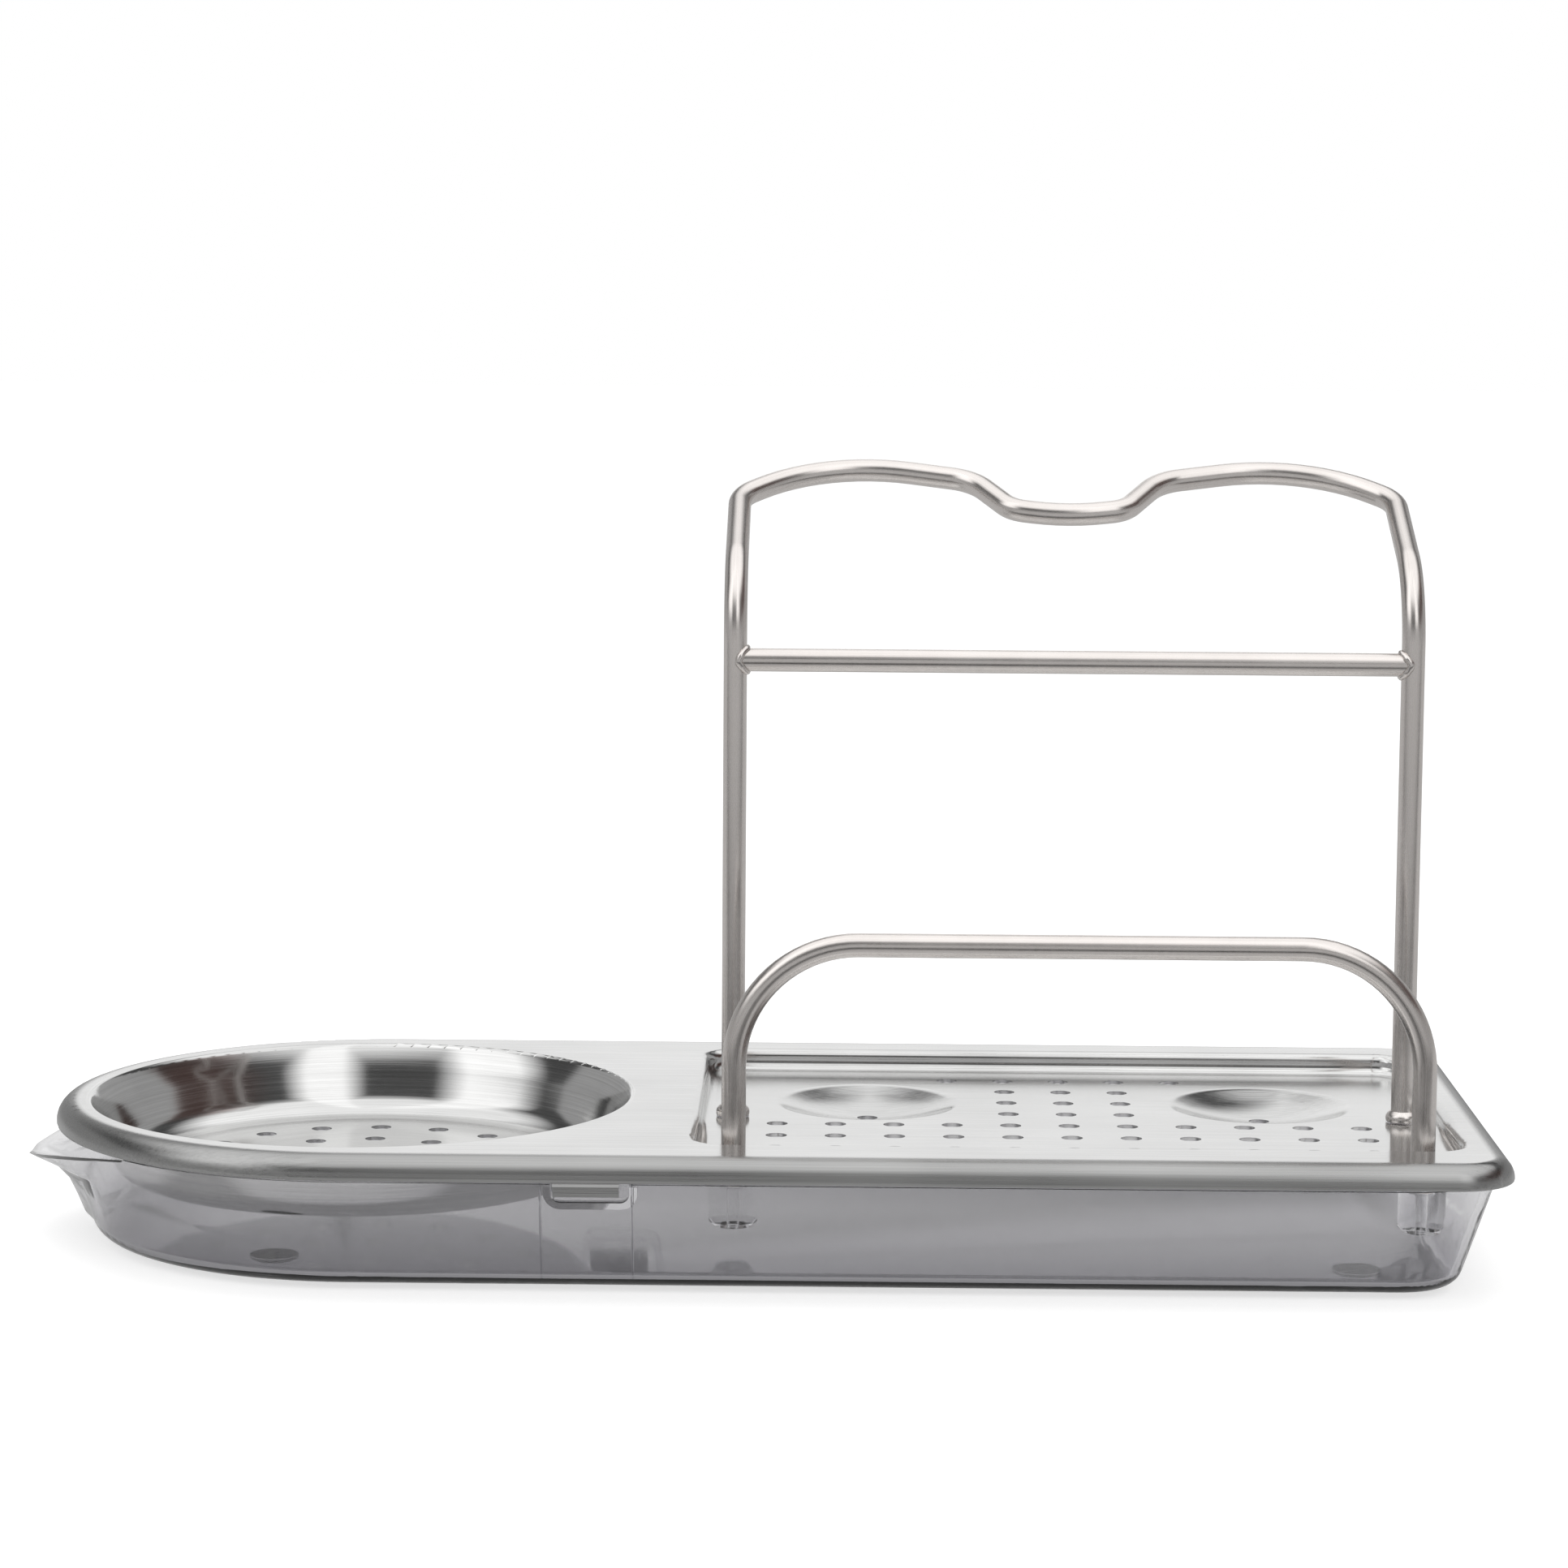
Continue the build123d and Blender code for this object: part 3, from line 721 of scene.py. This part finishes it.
@dataclass
class RodBender:
    """Bends one straight rod run by run, as a bending bench does."""

    radius: float
    start: Vector
    heading: Vector
    sides: int = 32
    step: float = math.radians(5.0)
    feed: float = 20.0 * MM
    mesh: bmesh.types.BMesh = field(default_factory=bmesh.new)
    run: float = 0.0

    def __post_init__(self) -> None:
        """Cuts the first ring and opens the layer for place along and round the rod."""
        self.space = self.mesh.verts.layers.float_vector.new("rod_space")
        turn = self.heading.to_track_quat("Z", "Y").to_matrix()
        self.side, self.up = turn.col[0].copy(), turn.col[1].copy()
        self.centre = self.start.copy()
        made = bmesh.ops.create_circle(self.mesh, cap_ends=False, segments=self.sides,
                                       radius=self.radius,
                                       matrix=Matrix.Translation(self.start) @ turn.to_4x4())
        self.ring = list({e for v in made["verts"] for e in v.link_edges})
        self._mark(made["verts"])
        bmesh.ops.contextual_create(self.mesh, geom=self.ring)

    def _mark(self, verts: Iterable[bmesh.types.BMVert]) -> None:
        """Writes where each point of a ring lies round and along the rod."""
        for vert in verts:
            out = (vert.co - self.centre) / self.radius
            vert[self.space] = (out.dot(self.side), out.dot(self.up), self.run)

    def _next_ring(self) -> list[bmesh.types.BMVert]:
        """Draws a new ring out of the last one and returns its points."""
        made = bmesh.ops.extrude_edge_only(self.mesh, edges=self.ring)
        self.ring = [g for g in made["geom"] if isinstance(g, bmesh.types.BMEdge)]
        return [g for g in made["geom"] if isinstance(g, bmesh.types.BMVert)]

    def straight(self, length: float) -> None:
        """Feeds a straight run.

        Args:
            length: How long it is.
        """
        pieces = max(1, round(length / self.feed))
        for _ in range(pieces):
            verts = self._next_ring()
            move = self.heading * (length / pieces)
            bmesh.ops.translate(self.mesh, verts=verts, vec=move)
            self.centre += move
            self.run += length / pieces
            self._mark(verts)

    def bend(self, radius: float, axis: Vector, turn: float) -> None:
        """Bends the rod round a former.

        Args:
            radius: The radius of the rod's centre line.
            axis: The former's axis, square to the heading.
            turn: The angle, by the right hand about the axis.
        """
        centre = self.centre + axis.cross(self.heading) * radius
        steps = max(2, math.ceil(turn / self.step))
        swing = Matrix.Rotation(turn / steps, 3, axis)
        for _ in range(steps):
            verts = self._next_ring()
            bmesh.ops.rotate(self.mesh, verts=verts, cent=centre, matrix=swing)
            self.centre = centre + swing @ (self.centre - centre)
            self.heading = (swing @ self.heading).normalized()
            self.side, self.up = swing @ self.side, swing @ self.up
            self.run += radius * turn / steps
            self._mark(verts)

    def follow(self, corners: Sequence[Vector], radii: Sequence[float]) -> None:
        """Runs along a cornered line with a bend at each inner corner.

        Args:
            corners: The line's corners, the first where the rod is now.
            radii: The bend radius at each corner but the first and last.
        """
        used = 0.0
        for index, corner in enumerate(corners[1:-1]):
            before = (corner - corners[index]).normalized()
            after = (corners[index + 2] - corner).normalized()
            turn = before.angle(after)
            tangent = radii[index] * math.tan(turn / 2)
            self.straight((corner - corners[index]).length - used - tangent)
            self.bend(radii[index], before.cross(after).normalized(), turn)
            used = tangent
        self.straight((corners[-1] - corners[-2]).length - used)

    def cap(self) -> bmesh.types.BMesh:
        """Closes the rod's end and returns the finished geometry."""
        bmesh.ops.contextual_create(self.mesh, geom=self.ring)
        bmesh.ops.recalc_face_normals(self.mesh, faces=self.mesh.faces)
        return self.mesh


@dataclass
class RodPieces:
    """What the two racks share: the rod's size, where it stands and how its collars look."""

    rod: float = 5.0
    foot_z: float = 19.5
    collar: float = 7.2
    collar_height: float = 2.4
    collar_sides: int = 40
    collar_shape: tuple[Pair, ...] = (
        (0.0, 0.0), (0.72, 0.0), (0.93, 0.10), (1.0, 0.28), (1.0, 0.45),
        (0.90, 0.62), (0.62, 0.78), (0.36, 0.90), (0.16, 1.0), (0.0, 1.0))
    seat: float = 0.1

    def bender(self, x: float, y: float) -> RodBender:
        """Starts a rod at the foot of a leg, heading up."""
        return RodBender(self.rod / 2 * MM, Vector((x, y, self.foot_z)) * MM, Axis.Z.value)

    def collar_mesh(self, x: float, y: float) -> bmesh.types.BMesh:
        """Spins the swaged ring that stops a leg at the recess floor.

        Args:
            x: The leg's place along X, in millimetres.
            y: The leg's place along Y, in millimetres.

        Returns:
            The ring's geometry.
        """
        radius = self.rod / 2
        bulge = self.collar / 2 - radius
        low = PLAN.floor_z + self.seat
        middle = Vector((x, y, 0)) * MM
        mesh = bmesh.new()
        space = mesh.verts.layers.float_vector.new("rod_space")
        verts = [mesh.verts.new(Vector((x + radius + out * bulge, y,
                                        low + rise * self.collar_height)) * MM)
                 for out, rise in self.collar_shape]
        edges = [mesh.edges.new(pair) for pair in zip(verts, verts[1:])]
        bmesh.ops.spin(mesh, geom=verts + edges, cent=middle, axis=Axis.Z.value, angle=math.tau,
                       steps=self.collar_sides, use_merge=True, use_duplicate=False)
        bmesh.ops.recalc_face_normals(mesh, faces=mesh.faces)
        for vert in mesh.verts:
            out = vert.co - middle
            vert[space] = (out.x / (radius * MM), out.y / (radius * MM), out.z)
        return mesh


@dataclass
class TallRack(RodPieces):
    """The tall rack: a bent loop with two humps and a notch, a crossbar and two collars."""

    span: float = 144.4
    bend_z: float = 127.2
    bend: float = 20.4
    lean: float = 66.5
    reach: float = 44.4
    widths: tuple[float, ...] = (1.0, 0.740, 0.285, 0.173, 0.0)
    reaches: tuple[float, ...] = (0.604, 1.0, 0.795, 0.484, 0.414)
    radii: tuple[float, ...] = (0.20, 0.79, 0.27, 0.16, 0.72)
    crossbar_z: float = 123.9
    crossbar_in: float = 1.2
    weld: float = 0.75
    weld_points: int = 48
    weld_hug: float = 0.92
    weld_sharp: float = 80.0
    ripple: float = 0.25
    ripples_per_m: float = 900.0

    def corners(self) -> tuple[list[Vector], list[float]]:
        """Works out the loop's corners and bend radii.

        Returns:
            The corners from the right foot to the left foot, and the inner corners' radii.
        """
        half, lean = self.span / 2, math.radians(self.lean)
        knee_z = self.bend_z + self.bend * math.tan(lean / 2)
        start = Vector((0, self.bend * (1 - math.cos(lean)),
                        self.bend_z + self.bend * math.sin(lean)))
        along = Vector((0, math.sin(lean), math.cos(lean)))
        right = [start + Vector((w * half, 0, 0)) + along * (r * self.reach)
                 for w, r in zip(self.widths, self.reaches)]
        left = [Vector((-p.x, p.y, p.z)) for p in reversed(right[:-1])]
        points = [Vector((half, 0, self.foot_z)), Vector((half, 0, knee_z)), *right, *left,
                  Vector((-half, 0, knee_z)), Vector((-half, 0, self.foot_z))]
        radii = [share * self.reach for share in self.radii]
        radii = [self.bend, *radii, *radii[-2::-1], self.bend]
        middle = Vector((PLAN.recess_x, 0, 0))
        return [(p + middle) * MM for p in points], [r * MM for r in radii]

    def weld_mesh(self, side: int) -> bmesh.types.BMesh:
        """Lays a weld bead along the seam where the crossbar meets a leg.

        Args:
            side: -1 for the left leg, 1 for the right.

        Returns:
            The bead's geometry.
        """
        rod = self.rod / 2
        leg_x = PLAN.recess_x + side * self.span / 2
        curve = bpy.data.curves.new("weld_path", "CURVE")
        curve.dimensions = "3D"
        path = curve.splines.new("POLY")
        path.points.add(self.weld_points - 1)
        path.use_cyclic_u = True
        for index, point in enumerate(path.points):
            swing = math.tau * index / len(path.points)
            y, z = rod * math.cos(swing), rod * math.sin(swing)
            x = leg_x - side * math.sqrt(max(rod * rod - y * y * self.weld_hug, 0.0))
            point.co = (*(Vector((x, y, self.crossbar_z + z)) * MM), 1.0)
        curve.bevel_depth = self.weld * MM
        curve.bevel_resolution = 4
        holder = bpy.data.objects.new("weld_path", curve)
        data = bpy.data.meshes.new_from_object(holder)
        mesh = bmesh.new()
        mesh.from_mesh(data)
        bpy.data.objects.remove(holder)
        bpy.data.curves.remove(curve)
        bpy.data.meshes.remove(data)
        bmesh.ops.remove_doubles(mesh, verts=mesh.verts, dist=1e-6)
        bmesh.ops.recalc_face_normals(mesh, faces=mesh.faces)
        for vert in mesh.verts:
            ripple = noise.noise(vert.co * self.ripples_per_m) * self.ripple * MM
            vert.co += vert.normal * ripple
        return mesh

    def build(self, material: bpy.types.Material) -> None:
        """Builds the rack's pieces.

        Args:
            material: The rods' finish.
        """
        half = self.span / 2
        loop = self.bender(PLAN.recess_x + half, 0)
        loop.follow(*self.corners())
        finish_piece(loop.cap(), "tall_rack_loop", material, Body.RACK, ["rack_loop"])
        start = Vector((PLAN.recess_x - half + self.crossbar_in, 0, self.crossbar_z)) * MM
        bar = RodBender(self.rod / 2 * MM, start, Axis.X.value)
        bar.straight((self.span - 2 * self.crossbar_in) * MM)
        finish_piece(bar.cap(), "tall_rack_crossbar", material, Body.RACK,
                     ["rack_crossbar"])
        for side, word in ((-1, "left"), (1, "right")):
            finish_piece(self.weld_mesh(side), f"tall_rack_weld_{word}", material, Body.RACK,
                         sharp=self.weld_sharp)
            finish_piece(self.collar_mesh(PLAN.recess_x + side * half, 0),
                         f"tall_rack_collar_{word}", material, Body.RACK,
                         [f"rack_collar_{word}"])


@dataclass
class LowDivider(RodPieces):
    """The low front rod between which and the tall rack a sponge stands."""

    span: float = 142.0
    top_z: float = 69.3
    bend: float = 25.5
    y: float = -42.8
    collar: float = 6.2
    collar_height: float = 0.8

    def build(self, material: bpy.types.Material) -> None:
        """Builds the divider's pieces.

        Args:
            material: The rod's finish.
        """
        half = self.span / 2
        places = [(half, self.foot_z), (half, self.top_z),
                  (-half, self.top_z), (-half, self.foot_z)]
        points = [Vector((PLAN.recess_x + x, self.y, z)) * MM for x, z in places]
        loop = self.bender(PLAN.recess_x + half, self.y)
        loop.follow(points, [self.bend * MM] * 2)
        finish_piece(loop.cap(), "low_divider_loop", material, Body.DIVIDER,
                     ["divider_loop"])
        for side, word in ((-1, "left"), (1, "right")):
            finish_piece(self.collar_mesh(PLAN.recess_x + side * half, self.y),
                         f"low_divider_collar_{word}", material, Body.DIVIDER,
                         [f"divider_collar_{word}"])


@dataclass
class SteelTray:
    """The pressed tray: rolled rim, round bowl, recess with dimples, drain holes and tabs."""

    tools: Pressing = field(default_factory=Pressing)

    def build(self, material: bpy.types.Material) -> None:
        """Builds the tray.

        Args:
            material: The sheet's finish.
        """
        finish_piece(merged_copy("steel_tray"), "pressed_tray", material, Body.TRAY,
                     ["steel_tray"], pressing=self.tools)


@dataclass
class DripDish:
    """The clear dish under the tray."""

    def build(self, material: bpy.types.Material) -> None:
        """Builds the dish.

        Args:
            material: The clear plastic.
        """
        finish_piece(merged_copy("drip_dish"), "clear_dish", material, Body.DISH,
                     ["drip_dish"])


# Studio


@dataclass
class PhotoCamera:
    """The camera that sees the caddy as the photograph does."""

    place: Triple = (0.01796, -0.92523, 0.20997)
    pitch: float = 6.945
    roll: float = 0.401
    yaw: float = 0.712
    lens: float = 99.97
    sensor: float = 36.0
    clip: Pair = (0.01, 50.0)

    def build(self) -> None:
        """Makes the camera and sets it as the scene's."""
        level = Matrix(((1, 0, 0), (0, 0, -1), (0, 1, 0)))
        seen = (Matrix.Rotation(math.radians(self.roll), 3, "Z")
                @ Matrix.Rotation(math.radians(self.pitch), 3, "X")
                @ level @ Matrix.Rotation(-math.radians(self.yaw), 3, "Z"))
        turn = Matrix((seen[0], -seen[1], -seen[2])).transposed()
        data = bpy.data.cameras.new("photo_camera")
        data.lens = self.lens
        data.sensor_width = self.sensor
        data.clip_start, data.clip_end = self.clip
        camera = bpy.data.objects.new("photo_camera", data)
        camera.matrix_world = Matrix.Translation(self.place) @ turn.to_4x4()
        bpy.context.scene.collection.objects.link(camera)
        bpy.context.scene.camera = camera


@dataclass
class SoftBox:
    """One soft square lamp that looks at the caddy and shows in no mirror."""

    name: str
    place: Triple
    size: float
    watts: float
    aim: Triple = (0.0, 0.0, 0.05)

    def build(self) -> None:
        """Makes the lamp."""
        data = bpy.data.lights.new(self.name, "AREA")
        data.shape = "SQUARE"
        data.size = self.size
        data.energy = self.watts
        lamp = bpy.data.objects.new(self.name, data)
        lamp.location = self.place
        lamp.visible_glossy = False
        look = Vector(self.aim) - Vector(self.place)
        lamp.rotation_euler = look.to_track_quat("-Z", "Y").to_euler()
        bpy.context.scene.collection.objects.link(lamp)


@dataclass
class Studio:
    """A pale floor, a white surround with a painted room for mirrors, and soft lamps.

    Tones are strengths, floor places are in metres, swings are in degrees, and a rise or a
    way is the length of the upward, backward or rightward part of a direction.
    """

    lamps: tuple[SoftBox, ...] = (
        SoftBox("lamp_above", (0.0, 0.35, 1.5), 1.3, 9.0),
        SoftBox("lamp_front_right", (0.45, -1.10, 0.80), 0.8, 3.5),
        SoftBox("lamp_front_left", (-1.15, -0.75, 0.75), 0.6, 2.2),
    )
    floor_half: float = 6.0
    floor_gap: float = 0.0002
    floor_tone: float = 0.50
    floor_glow: float = 0.66
    floor_through: float = 0.95
    # Painted shadow: seen through clear plastic, the floor under the caddy glows only this much,
    # within the reaches along X and Y below.
    painted_shadow_through: float = 0.18
    floor_in_mirror: float = 0.56
    # Painted shade: mirrors see the floor darker by this depth in a band in front of the caddy,
    # between the two distances below.
    painted_shade_depth: float = 0.50
    painted_shade_from: Pair = (0.14, 0.19)
    painted_shade_to: Pair = (0.34, 0.42)
    painted_shadow_x: Pair = (0.135, 0.150)
    painted_shadow_y: Pair = (0.052, 0.062)
    backdrop_swing: Pair = (13.0, 22.0)
    backdrop_taper: float = 0.5
    taper_rise: float = 0.2
    front_swing: Pair = (125.0, 150.0)
    side_tone: float = 0.08
    front_low_tone: float = 0.50
    low_side_tone: float = 0.40
    low_rise: Pair = (0.24, 0.34)
    rear_lift: float = 0.16
    rear_way: Pair = (0.15, 0.40)
    above_tone: float = 1.25
    above_rise: Pair = (0.60, 0.78)
    window_tone: float = 1.5
    window_rise: Pair = (0.25, 0.45)
    window_right: Triple = (25.0, 9.0, 22.0)
    window_left: Triple = (-61.0, 14.0, 32.0)
    warm_tint: Triple = (1.0, 0.66, 0.60)
    warm_way: Pair = (0.68, 0.86)
    fill: float = 0.75

    def build(self) -> None:
        """Makes floor, world and lamps."""
        self._floor()
        self._world()
        for lamp in self.lamps:
            lamp.build()

    def _floor(self) -> None:
        """Makes the plain pale floor, which shows white and keeps the caddy's shadow."""
        mesh = bmesh.new()
        bmesh.ops.create_grid(mesh, x_segments=1, y_segments=1, size=self.floor_half,
                              matrix=Matrix.Translation((0.0, 0.0, -self.floor_gap)))
        data = bpy.data.meshes.new("floor")
        mesh.to_mesh(data)
        mesh.free()
        data.materials.append(self._floor_material())
        floor = bpy.data.objects.new("floor", data)
        bpy.context.scene.collection.objects.link(floor)

    def _floor_material(self) -> bpy.types.Material:
        """Builds the floor's finish: matt, with its own glow for eyes, mirrors and clear plastic,
        a band of painted shade in front that only mirrors see, and a painted shadow under the
        caddy that only clear plastic sees.

        Returns:
            The finished material.
        """
        material = bpy.data.materials.new("floor_white")
        material.use_nodes = True
        bench = NodeBench(material.node_tree)
        path = bench.add("ShaderNodeLightPath").outputs
        glossy, through_clear = path["Is Glossy Ray"], path["Is Transmission Ray"]
        x, y, _ = bench.parts(bench.place())
        # Painted shade: a darker band of floor in front of the caddy, seen only in mirrors.
        away = bench.times(y, -1.0)
        painted_shade_band = bench.times(bench.spread(away, 0.0, 1.0, *self.painted_shade_from),
                            bench.spread(away, 1.0, 0.0, *self.painted_shade_to))
        in_mirror = bench.minus(self.floor_in_mirror, bench.times(painted_shade_band, self.painted_shade_depth))
        # Painted shadow: seen through clear plastic, the floor's glow drops under the caddy.
        under = bench.times(self._within(bench, x, self.painted_shadow_x),
                            self._within(bench, y, self.painted_shadow_y))
        through = bench.spread(under, self.floor_through, self.painted_shadow_through)
        shown = bench.most(bench.times(path["Is Camera Ray"], self.floor_glow),
                           bench.times(glossy, in_mirror), bench.times(through_clear, through))
        matt = bench.add("ShaderNodeBsdfDiffuse")
        bench.wire(bench.blend_colour(bench.most(glossy, through_clear),
                                      (self.floor_tone,) * 3, BLACK), matt.inputs["Color"])
        glow = bench.add("ShaderNodeEmission")
        bench.wire(shown, glow.inputs["Strength"])
        both = bench.add("ShaderNodeAddShader")
        out = bench.add("ShaderNodeOutputMaterial")
        bench.wire(matt.outputs[0], both.inputs[0])
        bench.wire(glow.outputs[0], both.inputs[1])
        bench.wire(both.outputs[0], out.inputs["Surface"])
        return material

    @staticmethod
    def _within(bench: NodeBench, value: Socket, reach: Pair) -> Socket:
        """Gives 1 where a place is within the first reach, falling to 0 at the second."""
        return bench.spread(bench.math("ABSOLUTE", value), 1.0, 0.0, *reach)

    @staticmethod
    def _window(bench: NodeBench, way: Sequence[Socket], place: Triple) -> Socket:
        """Gives 1 within a bright window of the mirrored room, soft at its sides.

        Args:
            bench: The world's bench.
            way: The three lengths of the ray's direction.
            place: The window's angle from the front, its half width and where it has faded,
                in degrees.

        Returns:
            The window's share.
        """
        middle, half, faded = map(math.radians, place)
        front = bench.times(way[1], -1.0)
        swing = bench.minus(bench.math("ARCTAN2", way[0], front), middle)
        return bench.spread(bench.math("ABSOLUTE", swing), 1.0, 0.0, half, faded)

    def _room(self, bench: NodeBench, way: Sequence[Socket]) -> tuple[Socket, Socket]:
        """Paints the room that mirrors see: bright behind, above and in its two windows.

        Args:
            bench: The world's bench.
            way: The three lengths of the ray's direction.

        Returns:
            How bright the room is in that direction, and how warm.
        """
        x, y, rise = way
        swing = bench.math("ABSOLUTE", bench.math("ARCTAN2", x, y))
        taper = bench.times(bench.most(bench.minus(rise, self.taper_rise), 0.0),
                            self.backdrop_taper)
        behind = bench.spread(bench.plus(swing, taper), 1.0, 0.0,
                              *map(math.radians, self.backdrop_swing))
        ahead = bench.spread(swing, 0.0, 1.0, *map(math.radians, self.front_swing))
        above = bench.spread(rise, self.side_tone, self.above_tone, *self.above_rise)
        rear = bench.spread(y, 0.0, self.rear_lift, *self.rear_way)
        low = bench.spread(bench.minus(rise, rear), 1.0, 0.0, *self.low_rise)
        low_tone = bench.spread(ahead, self.low_side_tone, self.front_low_tone)
        windows = bench.most(self._window(bench, way, self.window_right),
                             self._window(bench, way, self.window_left))
        lit = bench.spread(rise, 0.0, self.window_tone, *self.window_rise)
        bright = bench.most(behind, bench.times(windows, lit))
        room = bench.most(above, bright, bench.times(low, low_tone), self.side_tone)
        plain = bench.math("SUBTRACT", 1.0, bench.most(bright, low), clamp=True)
        return room, bench.times(bench.spread(x, 0.0, 1.0, *self.warm_way), plain)

    def _world(self) -> None:
        """Makes the surround, white to look at, with the painted room in mirrors."""
        world = bpy.data.worlds.new("surround")
        bpy.context.scene.world = world
        world.use_nodes = True
        bench = NodeBench(world.node_tree)
        path = bench.add("ShaderNodeLightPath").outputs
        glossy = path["Is Glossy Ray"]
        way = bench.parts(bench.add("ShaderNodeTexCoord").outputs["Generated"])
        room, warm = self._room(bench, way)
        level = bench.most(path["Is Camera Ray"], path["Is Transmission Ray"],
                           bench.times(glossy, room),
                           bench.times(path["Is Diffuse Ray"], self.fill))
        back = bench.add("ShaderNodeBackground")
        bench.wire(bench.blend_colour(bench.times(warm, glossy), WHITE, self.warm_tint),
                   back.inputs["Color"])
        bench.wire(level, back.inputs["Strength"])
        out = bench.add("ShaderNodeOutputWorld")
        bench.wire(back.outputs[0], out.inputs["Surface"])


def main() -> None:
    """Builds the caddy piece by piece and the studio round it."""
    logging.basicConfig(level=logging.INFO, format="%(name)s: %(message)s")
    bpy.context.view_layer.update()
    sheet = SheetSteel().material()
    rods = RodSteel().material()
    seams = (PLAN.tab_x - PLAN.seam_from_tab, PLAN.tab_x + PLAN.seam_from_tab)
    # The dish's low tint is painted shade towards its bottom.
    clear = ClearPlastic(Slot.SMOKE.value, (0.50, 0.492, 0.515), 125.0, seams=seams,
                         painted_shade_tint=(0.56, 0.555, 0.58)).material()
    socket = ClearPlastic(Slot.SOCKET.value, (0.60, 0.60, 0.62), 12.0, bending=1.07,
                          smooth=0.0, rough=0.02).material()
    rubber = ClearPlastic(Slot.RUBBER.value, (0.60, 0.60, 0.61), 12.0, bending=1.07).material()

    PhotoCamera().build()
    Studio().build()
    SteelTray().build(sheet)
    DripDish().build(clear)
    TallRack().build(rods)
    LowDivider().build(rods)
    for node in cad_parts:
        if "socket" in node:
            dress_node(node, socket)
        elif node.startswith("foot"):
            dress_node(node, rubber)
    bpy.context.scene.view_settings.view_transform = "Standard"


if __name__ == "__main__":
    main()
